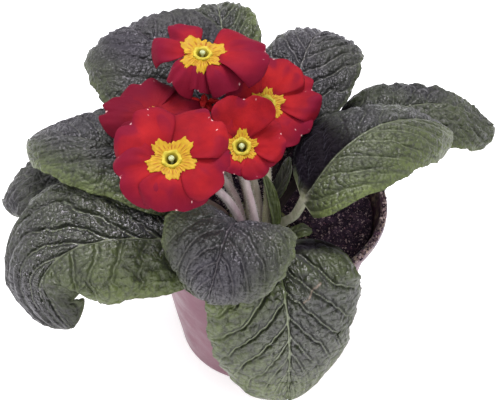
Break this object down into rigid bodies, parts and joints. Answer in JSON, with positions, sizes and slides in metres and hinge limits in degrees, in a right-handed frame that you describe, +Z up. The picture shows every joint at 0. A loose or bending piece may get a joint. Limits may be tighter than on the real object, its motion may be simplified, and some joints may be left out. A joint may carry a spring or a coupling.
{
  "type": "potted primrose",
  "caption": "Low rosette of broad, quilted leaves round short-stalked open flowers with toothed eyes, growing from soil in a thin tapered round nursery pot.",
  "frame": {"origin": "middle of the pot's foot, on the surface that the pot stands on", "axes": "+Z up along the pot's axis; -Y is the front, the side that the open flowers and the lowest leaves face"},
  "size_m": [0.2203, 0.1707, 0.16],
  "materials": {
    "pot": "thin soft plastic, faint sheen",
    "soil": "moist crumbly peat",
    "crown": "rough and dull",
    "leaf": "quilted, with a soft uneven sheen",
    "stalk": "downy and dull",
    "petal": "velvety",
    "eye": "velvety",
    "pistil": "moist"
  },
  "bodies": {
    "root": {"crown": "crown", "eye_back": "eye", "eye_back_left": "eye", "eye_front_left": "eye", "eye_front_right": "eye", "eye_right": "eye", "leaf_back": "leaf", "leaf_back_left": "leaf", "leaf_back_right": "leaf", "leaf_front": "leaf", "leaf_front_left": "leaf", "leaf_front_low": "leaf", "leaf_left_low": "leaf", "leaf_left_middle": "leaf", "leaf_right": "leaf", "leaf_right_back": "leaf", "petals_back": "petal", "petals_back_left": "petal", "petals_bud": "petal", "petals_front_left": "petal", "petals_front_right": "petal", "petals_right": "petal", "pistil_back": "pistil", "pistil_back_left": "pistil", "pistil_front_left": "pistil", "pistil_front_right": "pistil", "pistil_right": "pistil", "pot": "pot", "scape_back": "stalk", "scape_back_left": "stalk", "scape_bud": "stalk", "scape_front_left": "stalk", "scape_front_right": "stalk", "scape_right": "stalk", "soil": "soil", "young_leaf_low": "leaf", "young_leaf_middle": "leaf", "young_leaf_right": "leaf"}
  },
  "joints": []
}
